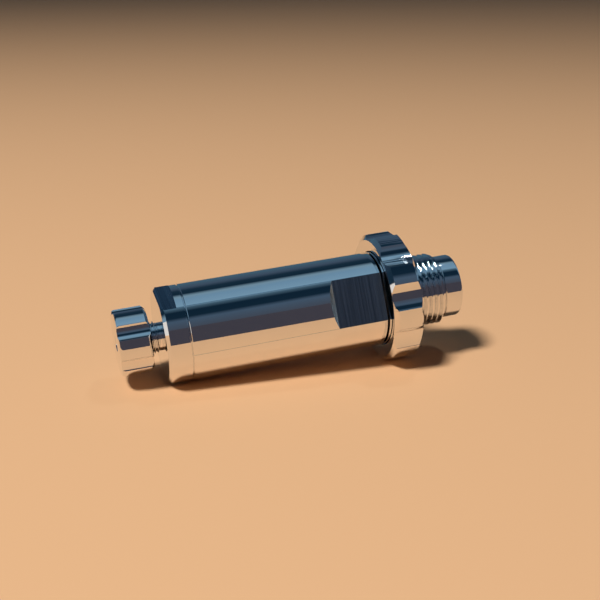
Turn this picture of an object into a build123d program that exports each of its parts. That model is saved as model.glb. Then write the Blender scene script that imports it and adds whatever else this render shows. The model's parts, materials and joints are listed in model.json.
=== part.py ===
from build123d import *
import math
import os

# DIN gas-analysis reducer: a small chromed brass pressure reducer that screws into a diving cylinder valve.
# Frame: the fitting lies along X, +Z up. The origin is on its axis, on the face that seals against the valve,
# and the fitting runs from there towards -X. Stations below are millimetres along X, radii are about the X axis.

# driving dimensions of the valve end
thread_pitch = 25.4 / 14          # G5/8, 14 threads to the inch
thread_radius = 22.911 / 2        # G5/8 major radius
thread_depth = 0.6403 * thread_pitch
collar_radius = 10.0
collar_back = -5.8
shank_radius = 7.0
shank_end = -36.0
running_gap = 0.05                # radial gap of every turning or sliding fit

# handwheel
wheel_radius = 20.5
wheel_front = -17.4               # rim face on the valve side
wheel_back = -27.1                # rim face on the body side
wheel_spigot_end = -6.0
wheel_recess_floor = -22.5
wheel_recess_radius = 15.3
wheel_dish_radius = 18.3          # the back is dished from here down to the recess
wheel_dish_end = -26.3
wheel_chamfer_x = 1.1
wheel_chamfer_r = 1.6
scallop_count = 9
scallop_cut_radius = 7.2
scallop_depth = 1.65

# body, plug and cap
body_radius = 15.0
body_bore = 11.5
body_front = -27.65
body_back = -89.35
flat_distance = 13.0              # 26 mm across the wrench flats
flat_end = -43.5
flange_front = -24.4
flange_back = -26.95              # leaves a 0.7 mm slot between flange and body
gasket_radius = 12.4
cap_face = -96.7
cap_flat_end = -91.9
cap_spigot_end = -82.5
joint_chamfer = 0.35

# outlet neck, needle and knob
neck_radius = 5.0                 # M10 x 1
neck_pitch = 1.0
neck_depth = 0.6134 * neck_pitch
neck_end = -105.1
neck_relief = 0.8
knob_front = -100.2
knob_face = -110.1
knob_radius = 10.3
knob_edge = 0.9
knob_recess_count = 6
knob_recess_radius = 3.6
knob_recess_centre = 12.8
outlet_hole = 1.8
needle_head_front = -107.6        # shoulder that the knob's circlip holds
needle_seal_x = -103.6
clip_front = -106.95
clip_back = -107.5

# piston and spring
piston_shaft = 3.95
piston_tip = -41.0
piston_head_front = -70.0
piston_head_back = -76.0
spring_start = -42.8
spring_wire = 0.9                 # wire radius
spring_radius = 9.25
spring_turns = 6

# how the fitting lies: turn of each feature about X, from -Y towards +Z, in degrees
body_flat_turn = 20
cap_flat_turn = 79
scallop_turn = 16
knob_turn = 36


def turned(points):
    """Solid of revolution about X from (x, radius) points."""
    outline = Plane.XZ * Polyline(*points, close=True)
    return revolve(make_face(outline), Axis.X, 360)


def tube(x_a, x_b, outer, inner):
    return turned([(x_a, inner), (x_b, inner), (x_b, outer), (x_a, outer)])


def rod(x_a, x_b, radius):
    return turned([(x_a, 0), (x_b, 0), (x_b, radius), (x_a, radius)])


def about_x(shape, angle):
    """Turns a shape built facing -Y about X, towards +Z."""
    return Rot(-angle, 0, 0) * shape


def radial_hole(x, radius, near, far, angle):
    """Cylinder along a radius, from distance near to distance far from the axis."""
    hole = Cylinder(radius, far - near, align=(Align.CENTER, Align.CENTER, Align.MIN))
    return about_x(Pos(x, -near, 0) * Rot(90, 0, 0) * hole, angle)


def axial_hole(x_a, x_b, radius, distance, angle):
    hole = Cylinder(radius, abs(x_b - x_a), align=(Align.CENTER, Align.CENTER, Align.MIN))
    return about_x(Pos(min(x_a, x_b), -distance, 0) * Rot(0, 90, 0) * hole, angle)


def hex_bar(x_a, x_b, across_flats):
    face = RegularPolygon(across_flats / 2, 6, major_radius=False)
    return Pos(min(x_a, x_b), 0, 0) * Rot(0, 90, 0) * extrude(face, abs(x_b - x_a))


def o_ring(x, ring_radius, cord_radius):
    return Pos(x, 0, 0) * Rot(0, 90, 0) * Torus(ring_radius, cord_radius)


def circlip(x_a, x_b, outer, inner, gap, angle, lug=0.0):
    """Flat spring clip with a gap; the lug is how far its two eyes reach inwards."""
    clip = tube(x_a, x_b, outer, inner)
    for side in (-1, 1):
        eye_turn = angle + side * math.degrees((gap / 2 + lug) / inner)
        if lug:
            clip += axial_hole(x_a, x_b, lug, inner - lug / 2, eye_turn)
    slot = Box(abs(x_b - x_a) * 3, outer * 2, gap, align=(Align.CENTER, Align.MAX, Align.CENTER))
    clip -= about_x(Pos((x_a + x_b) / 2, 0, 0) * slot, angle)
    for side in (-1, 1):
        eye_turn = angle + side * math.degrees((gap / 2 + lug) / inner)
        if lug:
            clip -= axial_hole(x_a - 1, x_b + 1, lug * 0.45, inner - lug / 2, eye_turn)
    return clip


def threaded_bar(x_start, x_end, crest, depth, pitch, crest_flat, root_flat):
    """Bar of the crest radius with a right-handed helical groove from x_start to x_end, longer at both ends."""
    over = 0.15
    slope = (pitch - crest_flat - root_flat) / 2 / depth
    half_root = root_flat / 2
    half_top = half_root + slope * (depth + over)
    helix = Helix(pitch=pitch, height=abs(x_end - x_start), radius=crest - depth)
    start = Plane(origin=helix @ 0, x_dir=(1, 0, 0), z_dir=helix % 0)
    outline = Polyline(
        (0, -half_root), (depth + over, -half_top), (depth + over, half_top), (0, half_root), close=True
    )
    groove = sweep(make_face(start * outline), path=helix, is_frenet=True)
    low, high = sorted((x_start, x_end))
    bar = rod(low - 3 * pitch, high + 3 * pitch, crest)
    return bar - Pos(low, 0, 0) * Rot(0, 90, 0) * groove


def flat_cutter(x_a, x_b, distance, run_out):
    """Prism above a wrench flat that faces -Y; run_out is the length of its sloped end at x_a."""
    reach = body_radius + 2 - distance
    outline = Polyline(
        (x_b, distance), (x_a, distance), (x_a - run_out * reach, distance + reach), (x_b, distance + reach),
        close=True,
    )
    face = make_face(Plane.XY * mirror(outline, Plane.XZ))
    return extrude(face, amount=body_radius, both=True)


def with_flats(solid, x_a, x_b, run_out, turn):
    for side in (0, 180):
        solid -= about_x(flat_cutter(x_a, x_b, flat_distance, run_out), turn + side)
    return solid


def make_inlet_nose():
    """Hollow screw that carries the sealing face: collar, face groove, filter seat, hex socket and shank."""
    nose = turned([
        (shank_end, 2.5), (shank_end, 6.4), (shank_end + 0.6, shank_radius), (collar_back, shank_radius),
        (collar_back, collar_radius - 0.3), (collar_back + 0.3, collar_radius), (-0.8, collar_radius),
        (-0.23, collar_radius - 0.23), (0, collar_radius - 0.8), (0, 4.8), (-0.3, 4.5),
        (-4.3, 4.5), (-4.3, 2.5),
    ])
    nose -= tube(-2.0, 0.5, 8.3, 5.45)
    nose -= tube(-1.75, -0.9, 4.95, 4.0)
    nose -= hex_bar(-9.5, -4.2, 6.0)
    nose -= tube(-30.2, -27.8, shank_radius + 1, 5.6)
    return nose


def make_face_seal():
    return o_ring(-0.66, 6.87, 1.31)


def make_inlet_filter():
    """Sintered disc with a domed dirt side."""
    return turned([(-4.3, 0), (-4.3, 4.4), (-1.8, 4.4), (-1.5, 3.4), (-1.1, 1.8), (-1.0, 0)])


def make_handwheel():
    rim = turned([
        (wheel_back, wheel_dish_radius), (wheel_back, wheel_radius - wheel_chamfer_r),
        (wheel_back + wheel_chamfer_x, wheel_radius), (wheel_front - wheel_chamfer_x, wheel_radius),
        (wheel_front, wheel_radius - wheel_chamfer_r), (wheel_front, shank_radius + 1),
        (wheel_recess_floor, shank_radius + 1), (wheel_recess_floor, wheel_recess_radius),
        (wheel_dish_end, wheel_recess_radius),
    ])
    cut_centre = wheel_radius - scallop_depth + scallop_cut_radius
    for i in range(scallop_count):
        turn = scallop_turn + i * 360 / scallop_count
        rim -= axial_hole(wheel_back - 1, wheel_front + 1, scallop_cut_radius, cut_centre, turn)
    return rim + make_wheel_spigot()


def make_wheel_spigot():
    """Threaded tube of the handwheel, G5/8 male, with a relief next to the rim and a lead-in chamfer."""
    relief = thread_radius - thread_depth - 0.05
    relief_end = wheel_front + 1.25 * thread_pitch
    over = thread_radius + 0.4
    spigot = turned([
        (wheel_recess_floor, shank_radius + running_gap), (wheel_recess_floor, relief),
        (relief_end - 0.6, relief), (relief_end + 0.2, over), (wheel_spigot_end - 1.3, over),
        (wheel_spigot_end, relief - 0.1), (wheel_spigot_end, shank_radius + 0.5),
        (wheel_spigot_end - 0.45, shank_radius + running_gap),
    ])
    flat = thread_pitch / 6
    cut_start = wheel_front + thread_pitch / 2 + 0.1
    cut_end = wheel_spigot_end + thread_pitch
    return spigot & threaded_bar(cut_start, cut_end, thread_radius, thread_depth, thread_pitch, flat, flat)


def make_slip_washer():
    """Acetal washer snapped against the recess floor of the handwheel."""
    return tube(wheel_recess_floor - 0.8, wheel_recess_floor, 11.0, shank_radius + running_gap)


def make_inlet_plug():
    """Flanged plug that closes the body and holds the orifice, the piston shaft gland and the inlet nose."""
    plug = turned([
        (flange_front, shank_radius), (flange_front, body_radius - 0.4), (flange_front - 0.4, body_radius),
        (flange_back + 0.15, body_radius), (flange_back, body_radius - 0.15), (flange_back, 11.0),
        (body_front, 11.0), (body_front, body_bore), (-42.0, body_bore), (-42.0, 8.0), (-53.4, 8.0), (-54.0, 7.4),
        (-54.0, piston_shaft + running_gap), (-48.0, piston_shaft + running_gap), (-48.0, 4.8),
        (-39.0, 4.8), (-39.0, 5.5), (shank_end, 5.5), (shank_end, shank_radius),
    ])
    plug -= tube(-52.6, -49.4, 5.75, piston_shaft)
    plug -= tube(-33.0 - 1.1, -33.0 + 1.1, body_bore + 1, 9.8)
    plug = with_flats(plug, flange_back - 1, flange_front + 1, 0, body_flat_turn)
    for i in range(4):
        turn = body_flat_turn + 45 + 90 * i
        plug -= axial_hole(-43.0, -36.5, 0.7, 9.6, turn)
        plug -= radial_hole(-36.5, 0.7, 9.0, 12.5, turn)
    return plug


def make_joint_gasket():
    """Black rubber ring in the slot between flange and body."""
    return tube(body_front, flange_back, gasket_radius, 11.0)


def make_body():
    body = turned([
        (body_front, body_bore), (body_front, body_radius - 0.15), (body_front - 0.15, body_radius),
        (body_back + joint_chamfer, body_radius), (body_back, body_radius - joint_chamfer),
        (body_back, body_bore),
    ])
    body = with_flats(body, flat_end, body_front + 1, 1, body_flat_turn)
    return body - tube(-36.5 - 0.9, -36.5 + 0.9, 12.2, body_bore)


def make_orifice():
    """Replaceable inlet orifice with a raised knife-edge nozzle that the piston's seat closes."""
    return turned([
        (shank_end, 0.8), (shank_end, 5.4), (-37.0, 5.4), (-37.0, 4.6), (-38.2, 4.6), (-38.2, 5.4),
        (-39.0, 5.4), (-39.0, 2.0), (-40.0, 1.0), (-40.0, 0.8),
    ])


def make_piston():
    """Hollow piston: seat pocket, cross holes, shaft, head with seal groove."""
    piston = turned([
        (piston_tip, 2.4), (piston_tip, 3.5), (piston_tip - 0.45, piston_shaft),
        (piston_head_front, piston_shaft), (piston_head_front, body_bore - 0.06),
        (piston_head_front - 1.9, body_bore - 0.06), (piston_head_front - 1.9, 9.4),
        (piston_head_back + 1.7, 9.4), (piston_head_back + 1.7, body_bore - 0.06),
        (piston_head_back, body_bore - 0.06), (piston_head_back, 4.5), (piston_head_back + 1.5, 3.0),
        (piston_head_back + 1.5, 1.6), (-43.9, 1.6), (-43.9, 0), (-42.6, 0), (-42.6, 2.4),
    ])
    for turn in (0, 90):
        piston -= radial_hole(-45.0, 0.9, -5.0, 5.0, turn)
    return piston


def make_piston_seat():
    return turned([(-42.6, 0), (-42.6, 2.4), (-41.0, 2.4), (-40.9, 2.2), (-40.9, 0)])


def make_spring():
    """Compression spring between the shim on the plug's shoulder and the piston head, a plain helix."""
    length = spring_start - piston_head_front
    pitch = (length - 2 * spring_wire - 0.1) / spring_turns
    helix = Helix(pitch=pitch, height=pitch * spring_turns, radius=spring_radius)
    start = Plane(origin=helix @ 0, z_dir=helix % 0)
    coil = sweep(start * Circle(spring_wire), path=helix, is_frenet=True)
    return Pos(piston_head_front + spring_wire + 0.05, 0, 0) * Rot(0, 90, 0) * coil


def make_outlet_neck():
    """Threaded outlet neck, M10 x 1, with a relief next to the cap face."""
    relief = neck_radius - neck_depth - 0.03
    over = neck_radius + 0.3
    neck = turned([
        (cap_face + 1, 2.0), (cap_face + 1, relief), (cap_face - neck_relief, relief),
        (cap_face - neck_relief - 0.7, over), (neck_end + 0.9, over), (neck_end, relief - 0.1),
        (neck_end, 3.0), (-99.5, 3.0), (-99.5, 2.0),
    ])
    flat = neck_pitch / 8
    cut_start = cap_face - neck_relief / 2 - 0.12
    cut_end = neck_end - neck_pitch
    return neck & threaded_bar(cut_start, cut_end, neck_radius, neck_depth, neck_pitch, flat, 2 * flat)


def make_outlet_cap():
    """Screwed cap with wrench flats and a spigot into the body, in one piece with the outlet neck."""
    cap = turned([
        (cap_spigot_end, 8.0), (cap_spigot_end, body_bore), (body_back, body_bore),
        (body_back, body_radius - joint_chamfer), (body_back - joint_chamfer, body_radius),
        (cap_face + 1.0, body_radius), (cap_face, body_radius - 1.0), (cap_face, 2.0), (-88.0, 2.0), (-88.0, 8.0),
    ])
    cap -= tube(-87.0, -84.6, body_bore + 1, 9.7)
    for side in (0, 180):
        cap -= about_x(flat_cutter(cap_face - 1, cap_flat_end, flat_distance, 0), cap_flat_turn + side)
    return cap + make_outlet_neck()


def make_needle_seat():
    return turned([(-99.5, 1.2), (-99.5, 2.9), (-100.7, 2.9), (-100.7, 1.9), (-100.2, 1.2)])


def make_needle():
    """Hollow metering needle: cone, cross holes, seal groove and the head that the knob holds."""
    stem = 3.0 - running_gap
    needle = turned([
        (-100.3, 0), (-101.9, 1.7), (-102.6, 1.7), (-102.6, stem), (needle_seal_x + 0.5, stem),
        (needle_seal_x + 0.5, 2.0), (needle_seal_x - 0.5, 2.0), (needle_seal_x - 0.5, stem),
        (needle_head_front, stem), (needle_head_front, 4.2), (needle_head_front - 0.8, 4.2),
        (needle_head_front - 0.8, 1.0), (-102.0, 1.0), (-102.0, 0),
    ])
    for turn in (0, 90):
        needle -= radial_hole(-102.3, 0.28, -2.0, 2.0, turn)
    return needle


def make_knob():
    """Six-lobed outlet knob with a chamfered gas hole in its face."""
    bore = neck_radius + running_gap
    knob = turned([
        (knob_front, bore + 0.4), (knob_front, knob_radius - knob_edge),
        (knob_front - knob_edge, knob_radius), (knob_face + knob_edge, knob_radius),
        (knob_face + 0.26, knob_radius - 0.26), (knob_face, knob_radius - knob_edge),
        (knob_face, outlet_hole + 0.7), (knob_face + 0.7, outlet_hole),
        (needle_head_front - 0.9, outlet_hole), (needle_head_front - 0.9, 4.3), (clip_back - 0.05, 4.3),
        (clip_back - 0.05, bore), (clip_front + 0.05, bore), (clip_front + 0.05, 4.3),
        (clip_front + 0.6, 4.3), (clip_front + 0.6, bore), (knob_front - 0.4, bore),
    ])
    for i in range(knob_recess_count):
        turn = knob_turn + i * 360 / knob_recess_count
        knob -= axial_hole(knob_face - 1, knob_front + 1, knob_recess_radius, knob_recess_centre, turn)
    return knob


def make_parts():
    """Every physical piece, by node name."""
    return {
        "inlet_nose": make_inlet_nose(),
        "nose_face_seal": make_face_seal(),
        "nose_shank_seal": o_ring(-29.0, 6.3, 0.68),
        "inlet_filter": make_inlet_filter(),
        "filter_circlip": circlip(-1.7, -0.95, 4.9, 4.1, 1.6, 200),
        "handwheel": make_handwheel(),
        "slip_washer": make_slip_washer(),
        "inlet_plug": make_inlet_plug(),
        "joint_gasket": make_joint_gasket(),
        "plug_seal": o_ring(-33.0, 10.65, 0.84),
        "inlet_orifice": make_orifice(),
        "orifice_seal": o_ring(-37.6, 4.99, 0.38),
        "body": make_body(),
        "piston": make_piston(),
        "piston_seat": make_piston_seat(),
        "piston_seal": o_ring(-73.1, 10.42, 1.0),
        "shaft_seal": o_ring(-50.6, 4.87, 0.86),
        "shaft_backup_ring": tube(-52.5, -51.5, 5.7, 4.0),
        "main_spring": make_spring(),
        "spring_shim": tube(-42.8, -42.0, 10.6, 8.1),
        "outlet_cap": make_outlet_cap(),
        "cap_seal": o_ring(-85.8, 10.6, 0.88),
        "needle_seat": make_needle_seat(),
        "metering_needle": make_needle(),
        "needle_seal": o_ring(needle_seal_x, 2.48, 0.47),
        "outlet_knob": make_knob(),
        "knob_circlip": circlip(clip_back, clip_front, 4.95, 3.4, 1.6, 250),
    }


os.makedirs("parts", exist_ok=True)
for name, solid in make_parts().items():
    solid.label = name
    export_step(solid, f"parts/{name}.step")
    print(name, round(solid.volume, 1))
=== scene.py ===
import json
import math

import bpy
from mathutils import Matrix, Vector

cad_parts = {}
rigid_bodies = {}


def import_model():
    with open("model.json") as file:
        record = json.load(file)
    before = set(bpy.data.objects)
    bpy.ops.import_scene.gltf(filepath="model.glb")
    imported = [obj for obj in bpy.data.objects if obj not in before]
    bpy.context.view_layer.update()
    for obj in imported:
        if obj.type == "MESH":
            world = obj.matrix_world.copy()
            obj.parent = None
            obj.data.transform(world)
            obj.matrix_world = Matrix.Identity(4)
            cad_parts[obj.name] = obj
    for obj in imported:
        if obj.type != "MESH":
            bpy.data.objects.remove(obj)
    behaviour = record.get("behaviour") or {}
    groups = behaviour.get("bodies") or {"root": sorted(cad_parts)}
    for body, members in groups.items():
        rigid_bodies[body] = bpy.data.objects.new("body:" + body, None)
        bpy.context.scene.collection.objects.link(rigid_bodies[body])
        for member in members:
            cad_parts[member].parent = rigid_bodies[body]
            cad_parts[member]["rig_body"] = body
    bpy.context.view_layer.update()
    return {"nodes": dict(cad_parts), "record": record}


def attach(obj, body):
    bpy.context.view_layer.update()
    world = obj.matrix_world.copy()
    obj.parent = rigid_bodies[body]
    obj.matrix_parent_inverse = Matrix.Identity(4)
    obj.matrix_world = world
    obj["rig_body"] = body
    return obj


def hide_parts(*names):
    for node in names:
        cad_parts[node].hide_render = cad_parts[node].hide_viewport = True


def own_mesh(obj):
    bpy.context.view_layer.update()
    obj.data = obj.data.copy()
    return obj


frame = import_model()
nodes = frame["nodes"]
mm = 0.001


def deselectAll():
    bpy.ops.object.select_all(action="DESELECT")


# camera: level with the table, so rolled a little against the fitting's own frame

cameraSetup = {
    "aim": (-51.4, 0.0, 3.7),
    "azimuth": 14.89,
    "elevation": 18.79,
    "roll": -5.05,
    "distance": 346.2,
    "lens": 65.89,
}


def makeCamera():
    s = cameraSetup
    azimuth, elevation = math.radians(s["azimuth"]), math.radians(s["elevation"])
    away = Vector((-math.sin(azimuth) * math.cos(elevation), -math.cos(azimuth) * math.cos(elevation),
                   math.sin(elevation)))
    deselectAll()
    bpy.ops.object.camera_add(location=(Vector(s["aim"]) + away * s["distance"]) * mm)
    camera = bpy.context.object
    level = away.to_track_quat("Z", "Y").to_matrix()
    camera.rotation_euler = (level @ Matrix.Rotation(math.radians(s["roll"]), 3, "Z")).to_euler()
    camera.data.lens = s["lens"]
    camera.data.clip_start = 0.01
    bpy.context.scene.camera = camera
    print("camera in place")


# shader maths written as expressions

class Value:
    def __init__(self, finish, socket):
        self.finish = finish
        self.socket = socket

    def maths(self, operation, *others):
        return self.finish.node("Math", {"operation": operation}, [self, *others])

    def __add__(self, other):
        return self.maths("ADD", other)

    def __radd__(self, other):
        return self.maths("ADD", other)

    def __sub__(self, other):
        return self.maths("SUBTRACT", other)

    def __rsub__(self, other):
        return self.finish.node("Math", {"operation": "SUBTRACT"}, [other, self])

    def __mul__(self, other):
        return self.maths("MULTIPLY", other)

    def __rmul__(self, other):
        return self.maths("MULTIPLY", other)

    def __gt__(self, other):
        return self.maths("GREATER_THAN", other)

    def __lt__(self, other):
        return self.maths("LESS_THAN", other)

    def __abs__(self):
        return self.maths("ABSOLUTE")


class Finish:
    def __init__(self, owner):
        # owner is a new material's name, or the world
        if isinstance(owner, str):
            owner = bpy.data.materials.new(owner)
        owner.use_nodes = True
        self.material = owner
        self.tree = owner.node_tree
        self.shader = self.tree.nodes.get("Principled BSDF")

    def node(self, kind, settings=None, inputs=(), output=0):
        made = self.tree.nodes.new("ShaderNode" + kind)
        for key, value in (settings or {}).items():
            if key == "stops":
                self.setStops(made.color_ramp, value)
            else:
                setattr(made, key, value)
        pairs = inputs.items() if isinstance(inputs, dict) else enumerate(inputs)
        for key, value in pairs:
            self.feed(made.inputs[key], value)
        return Value(self, made.outputs[output])

    def setStops(self, ramp, stops):
        while len(ramp.elements) < len(stops):
            ramp.elements.new(1)
        for element, (position, color) in zip(ramp.elements, stops):
            element.position = position
            element.color = (*color, 1)

    def feed(self, socket, value):
        if isinstance(value, Value):
            self.tree.links.new(value.socket, socket)
        elif isinstance(value, (tuple, list)) and len(value) == 3 and socket.type == "RGBA":
            socket.default_value = (*value, 1)
        else:
            socket.default_value = value

    def set(self, **values):
        for key, value in values.items():
            self.feed(self.shader.inputs[key.replace("_", " ")], value)

    def place(self):
        return self.node("TexCoord", output="Object")

    def stretched(self, scale, turn=(0, 0, 0)):
        return self.node("Mapping", inputs={"Vector": self.place(), "Scale": scale, "Rotation": turn})

    def noise(self, scale, detail=2.0, roughness=0.5, where=None):
        settings = {"noise_dimensions": "3D"}
        inputs = {"Vector": where or self.place(), "Scale": scale, "Detail": detail, "Roughness": roughness}
        return self.node("TexNoise", settings, inputs)

    def mix(self, factor, low, high):
        return self.node("MixRGB", inputs=[factor, low, high])

    def bump(self, height, distance, strength=1.0):
        return self.node("Bump", inputs={"Height": height, "Distance": distance, "Strength": strength})


# table, world and lights

restSetup = {
    "wheel": (-26.0, -20.5),     # where the handwheel and the cap's rim touch the table: x, z
    "cap": (-95.7, -15.0),
}


def tableFrame():
    (xa, za), (xb, zb) = restSetup["wheel"], restSetup["cap"]
    tilt = math.atan2(zb - za, xa - xb)
    return Matrix.Translation(Vector((xa, 0, za)) * mm) @ Matrix.Rotation(tilt, 4, "Y")


studioSetup = {
    "floorSize": 8.0,
    "floorColor": (0.80, 0.48, 0.26),
    "keyPower": 62.0,
    "keySize": 0.5,
    "keyPlace": (-1.1, -0.72, 2.0),
    "sparkPower": 0.6,
    "sparkSize": 0.045,
    "sparkPlace": (0.285, 0.20, 0.96),
    # cards seen only in the metal: name, place, size, turn about the vertical, glow
    "cards": (
        ("frontCard", (-0.05, -0.16, 0.05), (3.0, 0.1), 0, (0.050, 0.047, 0.062)),
        ("leftCard", (-0.42, -0.16, 0.04), (0.4, 0.14), -75, (0.82, 0.76, 0.70)),
    ),
    # what the polished metal sees overhead: degrees from the front horizon over the top to the back one
    "room": (
        (0, (0.058, 0.056, 0.074)), (24, (0.058, 0.068, 0.092)), (46, (0.060, 0.098, 0.148)),
        (54, (0.006, 0.020, 0.038)), (68, (0.005, 0.018, 0.036)), (77, (0.060, 0.115, 0.165)),
        (83, (0.19, 0.33, 0.45)), (101, (0.16, 0.29, 0.41)), (110, (0.18, 0.29, 0.37)),
        (119, (0.006, 0.022, 0.041)), (132, (0.010, 0.028, 0.050)), (145, (0.05, 0.08, 0.125)),
        (180, (0.06, 0.135, 0.19)),
    ),
}


def makeWorld():
    world = bpy.data.worlds.new("studio")
    finish = Finish(world)
    direction = finish.node("TexCoord", output="Generated")
    across = finish.node("SeparateXYZ", inputs=[direction], output="Y")
    upward = finish.node("SeparateXYZ", inputs=[direction], output="Z")
    angle = finish.node("Math", {"operation": "ARCTAN2"}, [upward, -1 * across])
    stops = [(degrees / 180, color) for degrees, color in studioSetup["room"]]
    color = finish.node("ValToRGB", {"stops": stops}, [abs(angle) * (1 / math.pi)])
    finish.feed(world.node_tree.nodes["Background"].inputs["Color"], color)
    world.cycles_visibility.diffuse = False
    bpy.context.scene.world = world


def reflectionCard(name, place, size, turn, glow):
    deselectAll()
    bpy.ops.mesh.primitive_plane_add(size=1, location=place, rotation=(-math.pi / 2, 0, math.radians(turn)))
    card = bpy.context.object
    card.name = name
    card.scale = (*size, 1)
    card.matrix_world = tableFrame() @ card.matrix_basis
    finish = Finish(name)
    finish.set(Base_Color=(0, 0, 0), Emission_Color=glow, Emission_Strength=1.0, Roughness=1.0)
    card.data.materials.append(finish.material)
    card.visible_camera = card.visible_diffuse = card.visible_shadow = False


def areaLight(name, place, size, power, color, seen):
    deselectAll()
    bpy.ops.object.light_add(type="AREA", location=place)
    light = bpy.context.object
    light.name = name
    light.data.shape = "DISK"
    light.data.size = size
    light.data.energy = power
    light.data.color = color
    light.rotation_euler = Vector(place).to_track_quat("Z", "Y").to_euler()
    light.matrix_world = tableFrame() @ light.matrix_basis
    light.visible_glossy = seen


def makeStudio():
    s = studioSetup
    deselectAll()
    bpy.ops.mesh.primitive_plane_add(size=s["floorSize"])
    floor = bpy.context.object
    floor.name = "floor"
    floor.matrix_world = tableFrame()
    finish = Finish("floor")
    finish.set(Base_Color=s["floorColor"], Roughness=0.7)
    floor.data.materials.append(finish.material)
    makeWorld()
    for card in s["cards"]:
        reflectionCard(*card)
    areaLight("keyLight", s["keyPlace"], s["keySize"], s["keyPower"], (1, 0.97, 0.93), False)
    areaLight("sparkLight", s["sparkPlace"], s["sparkSize"], s["sparkPower"], (0.86, 0.95, 1), True)
    bpy.context.scene.view_settings.view_transform = "Standard"
    print("studio in place")


# modelling steps shared by the turned pieces

def turnedPiece(name, outline, sides=256):
    # a ring of edges drawn out along X and widened or narrowed at each station, closed on itself at the end
    deselectAll()
    x, radius = outline[0]
    bpy.ops.mesh.primitive_circle_add(vertices=sides, radius=radius * mm, location=(x * mm, 0, 0),
                                      rotation=(0, math.pi / 2, 0))
    piece = bpy.context.object
    piece.name = name
    bpy.ops.object.transform_apply(location=True, rotation=True, scale=True)
    bpy.ops.object.mode_set(mode="EDIT")
    bpy.ops.mesh.select_all(action="SELECT")
    for (xa, ra), (xb, rb) in zip(outline, outline[1:] + outline[:1]):
        bpy.ops.mesh.extrude_region_move(TRANSFORM_OT_translate={"value": ((xb - xa) * mm, 0, 0)})
        bpy.ops.transform.resize(value=(1, rb / ra, rb / ra), center_override=(xb * mm, 0, 0))
    bpy.ops.mesh.select_all(action="SELECT")
    bpy.ops.mesh.remove_doubles(threshold=0.002 * mm)
    bpy.ops.mesh.normals_make_consistent(inside=False)
    bpy.ops.object.mode_set(mode="OBJECT")
    return piece


def useModifier(piece, kind, **settings):
    deselectAll()
    piece.select_set(True)
    bpy.context.view_layer.objects.active = piece
    modifier = piece.modifiers.new(kind.lower(), kind)
    for key, value in settings.items():
        setattr(modifier, key, value)
    bpy.ops.object.modifier_apply(modifier=modifier.name)


def combine(piece, tool, operation):
    useModifier(piece, "BOOLEAN", operation=operation, object=tool, solver="EXACT")
    bpy.data.objects.remove(tool)


def roundBar(xa, xb, radius, distance, turn, sides=128):
    # a cylinder along X, off the axis; turn runs from -Y towards +Z
    angle = math.radians(turn)
    place = ((xa + xb) / 2 * mm, -math.cos(angle) * distance * mm, math.sin(angle) * distance * mm)
    deselectAll()
    bpy.ops.mesh.primitive_cylinder_add(vertices=sides, radius=radius * mm, depth=abs(xb - xa) * mm,
                                        location=place, rotation=(0, math.pi / 2, 0))
    return bpy.context.object


def joined(tools):
    deselectAll()
    for tool in tools:
        tool.select_set(True)
    bpy.context.view_layer.objects.active = tools[0]
    bpy.ops.object.join()
    return tools[0]


def flatTool(xa, xb, distance, runOut, turn):
    # a block that stands off the axis by the flat's distance; its end at xa slopes outwards
    reach, width = 4.0, 40.0
    angle = math.radians(turn)
    deselectAll()
    bpy.ops.mesh.primitive_cube_add(size=1, location=((xa + xb) / 2 * mm, -(distance + reach / 2) * mm, 0))
    tool = bpy.context.object
    tool.scale = (abs(xb - xa) * mm, reach * mm, width * mm)
    bpy.ops.object.transform_apply(location=True, rotation=True, scale=True)
    for vertex in tool.data.vertices:
        vertex.select = abs(vertex.co.x - xa * mm) < 1e-6 and vertex.co.y < -(distance + reach / 2) * mm
    for edge in tool.data.edges:
        edge.select = all(tool.data.vertices[i].select for i in edge.vertices)
    for face in tool.data.polygons:
        face.select = False
    bpy.ops.object.mode_set(mode="EDIT")
    bpy.ops.transform.translate(value=(-runOut * reach * mm, 0, 0))
    bpy.ops.object.mode_set(mode="OBJECT")
    tool.rotation_euler = (-angle, 0, 0)
    bpy.ops.object.transform_apply(location=True, rotation=True, scale=True)
    return tool


def closeEnds():
    # fills the two open ends of the active wound shape
    bpy.ops.object.mode_set(mode="EDIT")
    bpy.ops.mesh.select_all(action="DESELECT")
    bpy.ops.mesh.select_mode(type="VERT")
    bpy.ops.mesh.select_non_manifold()
    bpy.ops.mesh.fill_holes(sides=0)
    bpy.ops.mesh.select_all(action="SELECT")
    bpy.ops.mesh.normals_make_consistent(inside=False)
    bpy.ops.object.mode_set(mode="OBJECT")


def threadRidge(s):
    # the thread's ridge as a closed solid, wound with Screw and trimmed by a turned sleeve
    slope = (s["pitch"] - s["crestFlat"] - s["rootFlat"]) / 2 / s["depth"]
    sunk = 0.06
    root = s["radius"] - s["depth"] - sunk
    crest = s["radius"] + 0.01
    base = (s["pitch"] - s["rootFlat"]) / 2 + sunk * slope
    deselectAll()
    bpy.ops.mesh.primitive_plane_add(size=1)
    ridge = bpy.context.object
    corners = ((-base, root), (base, root), (-s["crestFlat"] / 2, crest), (s["crestFlat"] / 2, crest))
    for vertex, (x, radius) in zip(ridge.data.vertices, corners):
        vertex.co = Vector((s["start"] + x, 0, radius)) * mm
    bpy.ops.object.mode_set(mode="EDIT")
    bpy.ops.mesh.select_all(action="SELECT")
    bpy.ops.mesh.delete(type="ONLY_FACE")
    bpy.ops.object.mode_set(mode="OBJECT")
    turns = math.ceil((s["end"] - s["start"]) / s["pitch"]) + 1
    useModifier(ridge, "SCREW", axis="X", screw_offset=s["pitch"] * mm, iterations=turns, steps=s["steps"],
                render_steps=s["steps"], use_merge_vertices=False)
    closeEnds()
    combine(ridge, turnedPiece("sleeve", s["sleeve"], 192), "INTERSECT")
    return ridge


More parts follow.
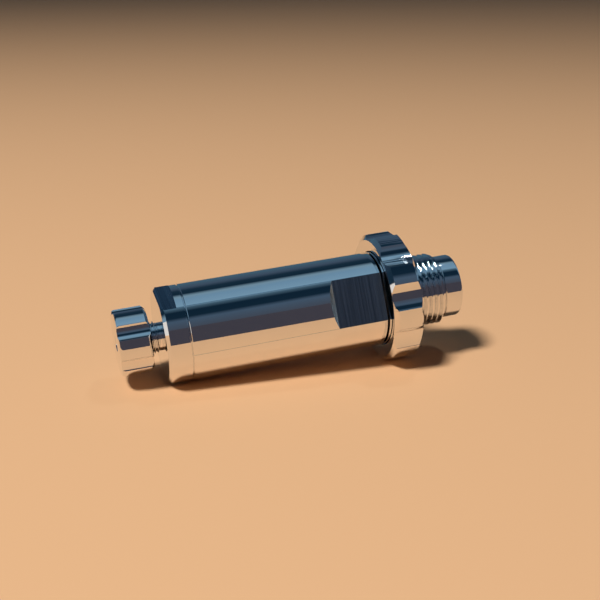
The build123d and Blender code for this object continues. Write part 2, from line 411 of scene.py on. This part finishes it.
def finishEdges(piece, width, segments=2):
    useModifier(piece, "BEVEL", width=width * mm, segments=segments, limit_method="ANGLE",
                angle_limit=math.radians(25), use_clamp_overlap=True)
    bpy.ops.object.shade_smooth_by_angle(angle=math.radians(35))
    useModifier(piece, "WEIGHTED_NORMAL", keep_sharp=True, weight=90)


def install(piece, node, finish):
    piece.data.materials.clear()
    piece.data.materials.append(finish)
    body = nodes[node]["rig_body"]
    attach(piece, body)
    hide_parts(node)


# finishes

flatSetup = {
    "distance": 13.0,            # half of 26 mm across the wrench flats
    "bodyTurn": 20,
    "capTurn": 79,
}


def chromeFinish(name, flatTurn=None):
    # mirror plating with faint turning marks; milled flats are satin, with cutter lines across the axis, and
    # their dark navy to pale blue colour is a painted reflection of the dark room, streaked by the cutter
    # lines
    finish = Finish(name)
    smear = finish.noise(140, 3.0, 0.6)
    marks = finish.noise(1.0, 2.0, 0.6, finish.stretched((5200, 30, 30)))
    roughness = 0.02 + 0.03 * smear
    height = marks * 0.5
    color = finish.mix(smear, (0.80, 0.82, 0.85), (0.86, 0.87, 0.88))
    if flatTurn is not None:
        turn = math.radians(flatTurn)
        along = finish.node("VectorMath", {"operation": "DOT_PRODUCT"},
                            [finish.place(), (0, -math.cos(turn), math.sin(turn))], output="Value")
        mask = abs(abs(along) - flatSetup["distance"] * mm) < 0.03 * mm
        lines = finish.noise(1.0, 4.0, 0.75, finish.stretched((1900, 14, 14)))
        # painted reflection: the flats' colour runs from dark navy to pale blue along the cutter lines
        linesAndReflection = 3.2 * lines - 1.1
        color = finish.mix(mask, color, finish.mix(linesAndReflection, (0.16, 0.26, 0.34), (0.50, 0.68, 0.80)))
        roughness = roughness + mask * (0.08 + 0.14 * lines)
        height = height + mask * (lines * 3.0)
    finish.set(Base_Color=color, Metallic=1.0, Roughness=roughness,
               Normal=finish.bump(height, 0.0004 * mm, 0.35))
    return finish.material


def rubberFinish():
    finish = Finish("sealRubber")
    grain = finish.noise(2600, 3.0, 0.6)
    finish.set(Base_Color=finish.mix(grain, (0.010, 0.010, 0.011), (0.024, 0.024, 0.025)),
               Roughness=0.45 + 0.25 * grain, Normal=finish.bump(grain, 0.01 * mm, 0.4))
    return finish.material


def metalFinish(name, dark, light, low, high, scale):
    finish = Finish(name)
    grain = finish.noise(1.0, 3.0, 0.65, finish.stretched(scale))
    finish.set(Base_Color=finish.mix(grain, dark, light), Metallic=1.0, Roughness=low + (high - low) * grain,
               Normal=finish.bump(grain, 0.004 * mm, 0.5))
    return finish.material


def plasticFinish(name, dark, light):
    finish = Finish(name)
    grain = finish.noise(900, 3.0, 0.6)
    finish.set(Base_Color=finish.mix(grain, dark, light), Roughness=0.35 + 0.2 * grain,
               Normal=finish.bump(grain, 0.006 * mm, 0.4))
    return finish.material


# body

bodySetup = {
    "front": -27.65, "back": -89.35, "radius": 15.0, "bore": 11.5,
    "frontEdge": 0.15, "backEdge": 0.35, "portGroove": (-37.4, -35.6, 12.2),
    "flatEnd": -43.5, "runOut": 1.0, "edge": 0.1,
}


def makeBody():
    s = bodySetup
    ga, gb, deep = s["portGroove"]
    body = turnedPiece("bodyTube", [
        (s["back"], s["bore"]), (s["back"], s["radius"] - s["backEdge"]),
        (s["back"] + s["backEdge"], s["radius"]), (s["front"] - s["frontEdge"], s["radius"]),
        (s["front"], s["radius"] - s["frontEdge"]),
        (s["front"], s["bore"]), (gb, s["bore"]), (gb, deep), (ga, deep), (ga, s["bore"]),
    ])
    turn = flatSetup["bodyTurn"]
    for side in (0, 180):
        combine(body, flatTool(s["flatEnd"], s["front"] + 3, flatSetup["distance"], s["runOut"], turn + side),
                "DIFFERENCE")
    finishEdges(body, s["edge"])
    install(body, "body", chromeFinish("chromeBody", turn))
    print("body done")


# end cap with the outlet neck

capSetup = {
    "spigot": -82.5, "shoulder": -89.35, "face": -96.7, "radius": 15.0, "bore": 11.5, "gasBore": 2.0,
    "shoulderEdge": 0.35, "faceEdge": 1.0, "flatEnd": -91.9, "sealGroove": (-87.0, -84.6, 9.7),
    "cupRadius": 8.0, "cupFloor": -88.0, "edge": 0.1,
}
neckSetup = {
    "radius": 5.0, "pitch": 1.0, "depth": 0.6134, "crestFlat": 0.125, "rootFlat": 0.25, "steps": 96,
    "end": -96.6, "start": -106.4, "tip": -105.1, "relief": 0.8, "seatBore": 3.0, "seatFloor": -99.5,
}


def makeCap():
    s, n = capSetup, neckSetup
    root = n["radius"] - n["depth"] - 0.03
    ga, gb, deep = s["sealGroove"]
    cap = turnedPiece("endCap", [
        (s["spigot"], s["cupRadius"]), (s["spigot"], s["bore"]), (gb, s["bore"]), (gb, deep), (ga, deep),
        (ga, s["bore"]), (s["shoulder"], s["bore"]), (s["shoulder"], s["radius"] - s["shoulderEdge"]),
        (s["shoulder"] - s["shoulderEdge"], s["radius"]), (s["face"] + s["faceEdge"], s["radius"]),
        (s["face"], s["radius"] - s["faceEdge"]), (s["face"], root), (n["tip"], root - 0.1),
        (n["tip"], n["seatBore"]), (n["seatFloor"], n["seatBore"]), (n["seatFloor"], s["gasBore"]),
        (s["cupFloor"], s["gasBore"]), (s["cupFloor"], s["cupRadius"]),
    ])
    for side in (0, 180):
        turn = flatSetup["capTurn"] + side
        combine(cap, flatTool(s["flatEnd"], s["face"] - 1, flatSetup["distance"], 0, turn), "DIFFERENCE")
    over = n["radius"] + 0.3
    sleeve = [(s["face"] - n["relief"], root - 0.3), (s["face"] - n["relief"], root),
              (s["face"] - n["relief"] - 0.7, over), (n["tip"] + 0.9, over), (n["tip"], root - 0.1),
              (n["tip"], root - 0.3)]
    combine(cap, threadRidge({**n, "sleeve": sleeve}), "UNION")
    finishEdges(cap, s["edge"])
    install(cap, "outlet_cap", chromeFinish("chromeCap", flatSetup["capTurn"]))
    print("end cap done")


# knob

knobSetup = {
    "front": -100.2, "face": -110.1, "radius": 10.3, "frontEdge": 0.9, "hole": 1.8, "holeEdge": 0.7,
    "cornerCut": 0.26, "bore": 5.05, "boreEdge": 0.4, "boreFloor": -108.5, "lip": 4.3,
    "clipGroove": (-107.55, -106.9), "lipStart": -106.35, "recesses": 6, "recessRadius": 3.6,
    "recessCentre": 12.8, "turn": 36, "edge": 0.1,
}


def makeKnob():
    s = knobSetup
    clipBack, clipFront = s["clipGroove"]
    knob = turnedPiece("lobedKnob", [
        (s["front"], s["bore"] + s["boreEdge"]), (s["front"], s["radius"] - s["frontEdge"]),
        (s["front"] - s["frontEdge"], s["radius"]), (s["face"] + s["frontEdge"], s["radius"]),
        (s["face"] + s["cornerCut"], s["radius"] - s["cornerCut"]), (s["face"], s["radius"] - s["frontEdge"]),
        (s["face"], s["hole"] + s["holeEdge"]), (s["face"] + s["holeEdge"], s["hole"]),
        (s["boreFloor"], s["hole"]), (s["boreFloor"], s["lip"]), (clipBack, s["lip"]), (clipBack, s["bore"]),
        (clipFront, s["bore"]), (clipFront, s["lip"]), (s["lipStart"], s["lip"]), (s["lipStart"], s["bore"]),
        (s["front"] - s["boreEdge"], s["bore"]),
    ], 192)
    cutters = [roundBar(s["face"] - 1, s["front"] + 1, s["recessRadius"], s["recessCentre"],
                        s["turn"] + i * 360 / s["recesses"], 64) for i in range(s["recesses"])]
    combine(knob, joined(cutters), "DIFFERENCE")
    finishEdges(knob, s["edge"])
    install(knob, "outlet_knob", chromeFinish("chromeKnob"))
    print("knob done")


# flanged plug

plugSetup = {
    "front": -24.4, "back": -26.95, "radius": 15.0, "frontEdge": 0.4, "backEdge": 0.15, "edge": 0.1,
    "neck": 11.0, "bodyFront": -27.65, "bore": 11.5, "sealGroove": (-31.9, -34.1, 9.8), "shankBore": 7.0,
    "shoulder": -42.0, "gland": 8.0, "glandEdge": (-53.4, 7.4), "tip": -54.0, "shaft": 4.0,
    "shaftGroove": (-52.6, -49.4, 5.75), "shaftStart": -48.0, "nozzleBore": (4.8, -39.0, 5.5),
    "shankFloor": -36.0, "portRadius": 0.7, "portDistance": 9.6, "portEnds": (-43.0, -36.5),
}


def makePlug():
    s = plugSetup
    ga, gb, deep = s["sealGroove"]
    ha, hb, wide = s["shaftGroove"]
    edgeStart, edgeRadius = s["glandEdge"]
    nozzle, nozzleStart, nozzleWide = s["nozzleBore"]
    plug = turnedPiece("flangedPlug", [
        (s["front"], s["shankBore"]), (s["front"], s["radius"] - s["frontEdge"]),
        (s["front"] - s["frontEdge"], s["radius"]), (s["back"] + s["backEdge"], s["radius"]),
        (s["back"], s["radius"] - s["backEdge"]), (s["back"], s["neck"]), (s["bodyFront"], s["neck"]),
        (s["bodyFront"], s["bore"]), (ga, s["bore"]), (ga, deep), (gb, deep), (gb, s["bore"]),
        (s["shoulder"], s["bore"]), (s["shoulder"], s["gland"]), (edgeStart, s["gland"]),
        (s["tip"], edgeRadius), (s["tip"], s["shaft"]), (ha, s["shaft"]), (ha, wide), (hb, wide),
        (hb, s["shaft"]), (s["shaftStart"], s["shaft"]), (s["shaftStart"], nozzle), (nozzleStart, nozzle),
        (nozzleStart, nozzleWide), (s["shankFloor"], nozzleWide), (s["shankFloor"], s["shankBore"]),
    ])
    turn = flatSetup["bodyTurn"]
    for side in (0, 180):
        tool = flatTool(s["back"] - 0.2, s["front"] + 1, flatSetup["distance"], 0, turn + side)
        combine(plug, tool, "DIFFERENCE")
    holes = [roundBar(*s["portEnds"], s["portRadius"], s["portDistance"], turn + 45 + 90 * i, 24)
             for i in range(4)]
    combine(plug, joined(holes), "DIFFERENCE")
    finishEdges(plug, s["edge"])
    install(plug, "inlet_plug", chromeFinish("chromePlug", turn))
    print("plug done")


gasketSetup = {"back": -27.65, "front": -26.95, "outer": 12.4, "inner": 11.0, "bulge": 0.16, "steps": 8}


def makeGasket():
    # a rubber ring whose edge bulges out of the slot it is squeezed in
    s = gasketSetup
    middle, half = (s["back"] + s["front"]) / 2, (s["front"] - s["back"]) / 2
    rim = []
    for i in range(s["steps"] + 1):
        angle = math.pi * i / s["steps"]
        rim.append((middle - half * math.cos(angle), s["outer"] - s["bulge"] * (1 - math.sin(angle))))
    gasket = turnedPiece("slotGasket", [(s["back"], s["inner"]), *rim, (s["front"], s["inner"])], 192)
    bpy.ops.object.shade_smooth_by_angle(angle=math.radians(50))
    install(gasket, "joint_gasket", rubberFinish())
    print("gasket done")


# handwheel

wheelSetup = {
    "front": -17.4, "back": -27.1, "radius": 20.5, "chamferAlong": 1.1, "chamferIn": 1.6,
    "recessFloor": -22.5, "recessRadius": 15.3, "dishRadius": 18.3, "dishEnd": -26.3, "shankBore": 7.05,
    "shankEdge": 0.45, "spigotTip": -6.0, "tipEdge": 0.1, "scallops": 9, "scallopRadius": 7.2,
    "scallopDepth": 1.65, "turn": 16, "edge": 0.1,
}
dinSetup = {
    "radius": 11.4555, "pitch": 25.4 / 14, "depth": 0.6403 * 25.4 / 14, "crestFlat": 25.4 / 84,
    "rootFlat": 25.4 / 84, "steps": 160, "start": -17.0, "end": -4.6,
}


def makeWheel():
    s, d = wheelSetup, dinSetup
    tip = s["spigotTip"]
    root = d["radius"] - d["depth"] - 0.05
    relief = s["front"] + 1.25 * d["pitch"]
    wheel = turnedPiece("scallopedWheel", [
        (s["back"], s["dishRadius"]), (s["back"], s["radius"] - s["chamferIn"]),
        (s["back"] + s["chamferAlong"], s["radius"]), (s["front"] - s["chamferAlong"], s["radius"]),
        (s["front"], s["radius"] - s["chamferIn"]), (s["front"], root), (tip - s["tipEdge"], root),
        (tip, root - s["tipEdge"]), (tip, s["shankBore"] + s["shankEdge"]),
        (tip - s["shankEdge"], s["shankBore"]), (s["recessFloor"], s["shankBore"]),
        (s["recessFloor"], s["recessRadius"]), (s["dishEnd"], s["recessRadius"]),
    ], 288)
    centre = s["radius"] - s["scallopDepth"] + s["scallopRadius"]
    cutters = [roundBar(s["back"] - 1, s["front"] + 1, s["scallopRadius"], centre,
                        s["turn"] + i * 360 / s["scallops"], 160) for i in range(s["scallops"])]
    combine(wheel, joined(cutters), "DIFFERENCE")
    over = d["radius"] + 0.4
    sleeve = [(relief - 0.6, root - 0.3), (relief - 0.6, root), (relief + 0.2, over), (tip - 1.3, over),
              (tip, root - s["tipEdge"]), (tip, root - 0.3)]
    combine(wheel, threadRidge({**d, "sleeve": sleeve}), "UNION")
    finishEdges(wheel, s["edge"])
    install(wheel, "handwheel", chromeFinish("chromeWheel"))
    print("handwheel done")


# inlet nose

noseSetup = {
    "shankEnd": -36.0, "shank": 7.0, "collar": 10.0, "collarBack": -5.8, "bore": 2.5, "filterBore": 4.5,
    "filterFloor": -4.3, "filterLeadIn": 0.3, "socketFlats": 6.0, "socketEnd": -9.5, "shankLeadIn": 0.6,
    "shankGroove": (-30.2, -27.8, 5.6), "faceGroove": (-2.0, 8.3, 5.45), "clipGroove": (-0.9, -1.75, 4.95),
    "collarBackEdge": 0.3, "collarEdge": 0.8, "collarCorner": 0.23, "edge": 0.1,
}


def makeNose():
    s = noseSetup
    ga, gb, deep = s["shankGroove"]
    faceFloor, faceOuter, faceInner = s["faceGroove"]
    clipFront, clipBack, clipDeep = s["clipGroove"]
    cut, corner = s["collarEdge"], s["collarCorner"]
    nose = turnedPiece("inletNose", [
        (s["shankEnd"], s["bore"]), (s["shankEnd"], s["shank"] - s["shankLeadIn"]),
        (s["shankEnd"] + s["shankLeadIn"], s["shank"]), (ga, s["shank"]), (ga, deep), (gb, deep),
        (gb, s["shank"]), (s["collarBack"], s["shank"]), (s["collarBack"], s["collar"] - s["collarBackEdge"]),
        (s["collarBack"] + s["collarBackEdge"], s["collar"]), (-cut, s["collar"]),
        (-corner, s["collar"] - corner), (0.0, s["collar"] - cut), (0.0, faceOuter), (faceFloor, faceOuter),
        (faceFloor, faceInner), (0.0, faceInner), (0.0, s["filterBore"] + s["filterLeadIn"]),
        (-s["filterLeadIn"], s["filterBore"]), (clipFront, s["filterBore"]), (clipFront, clipDeep),
        (clipBack, clipDeep), (clipBack, s["filterBore"]), (s["filterFloor"], s["filterBore"]),
        (s["filterFloor"], s["bore"]),
    ], 192)
    reach = s["socketFlats"] / math.sqrt(3)
    combine(nose, roundBar(s["socketEnd"], s["filterFloor"] + 0.1, reach, 0, 0, 6), "DIFFERENCE")
    finishEdges(nose, s["edge"])
    install(nose, "inlet_nose", chromeFinish("chromeNose"))
    print("nose done")


# main spring

springSetup = {
    "fixedEnd": -42.8, "freeEnd": -70.0, "wire": 0.9, "radius": 9.25, "turns": 6, "gap": 0.05, "stroke": 0.8,
    "steps": 72,
}


def makeSpring():
    s = springSetup
    length = s["fixedEnd"] - s["freeEnd"]
    pitch = (length - 2 * s["wire"] - 2 * s["gap"]) / s["turns"]
    start = s["freeEnd"] + s["wire"] + s["gap"]
    deselectAll()
    place = (start * mm, 0, s["radius"] * mm)
    bpy.ops.mesh.primitive_circle_add(vertices=20, radius=s["wire"] * mm, location=place,
                                      rotation=(math.pi / 2, 0, 0))
    spring = bpy.context.object
    spring.name = "mainSpring"
    bpy.ops.object.transform_apply(location=True, rotation=True, scale=True)
    useModifier(spring, "SCREW", axis="X", screw_offset=pitch * mm, iterations=s["turns"], steps=s["steps"],
                render_steps=s["steps"], use_merge_vertices=False)
    closeEnds()
    bpy.ops.object.shade_smooth_by_angle(angle=math.radians(40))
    finish = metalFinish("springWire", (0.36, 0.37, 0.39), (0.56, 0.57, 0.59), 0.22, 0.4, (900, 900, 900))
    install(spring, "main_spring", finish)
    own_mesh(spring)
    print("spring done")


def dressNodes():
    slotFinish = {
        "chrome": chromeFinish("chromePlain"),
        "seal_rubber": rubberFinish(),
        "sintered_bronze": metalFinish("sinteredBronze", (0.30, 0.17, 0.08), (0.62, 0.40, 0.22), 0.5, 0.8,
                                       (3800, 3800, 3800)),
        "spring_steel": metalFinish("springSteel", (0.36, 0.37, 0.39), (0.56, 0.57, 0.59), 0.22, 0.4,
                                    (900, 900, 900)),
        "steel": metalFinish("turnedSteel", (0.52, 0.53, 0.55), (0.68, 0.69, 0.70), 0.16, 0.3,
                             (4200, 60, 60)),
        "acetal": plasticFinish("acetal", (0.80, 0.80, 0.77), (0.88, 0.88, 0.85)),
        "seat_plastic": plasticFinish("seatPlastic", (0.74, 0.68, 0.54), (0.84, 0.79, 0.66)),
        "bare_brass": metalFinish("turnedBrass", (0.68, 0.50, 0.24), (0.84, 0.67, 0.38), 0.14, 0.3,
                                  (4200, 60, 60)),
    }
    slotOf = {part["node"]: part["material_slot"] for part in frame["record"]["subparts"]}
    for name, node in nodes.items():
        node.data.materials.clear()
        node.data.materials.append(slotFinish[slotOf[name]])
    print("carried nodes dressed")


makeCamera()
makeStudio()
dressNodes()
makeBody()
makeCap()
makeKnob()
makePlug()
makeGasket()
makeWheel()
makeNose()
makeSpring()
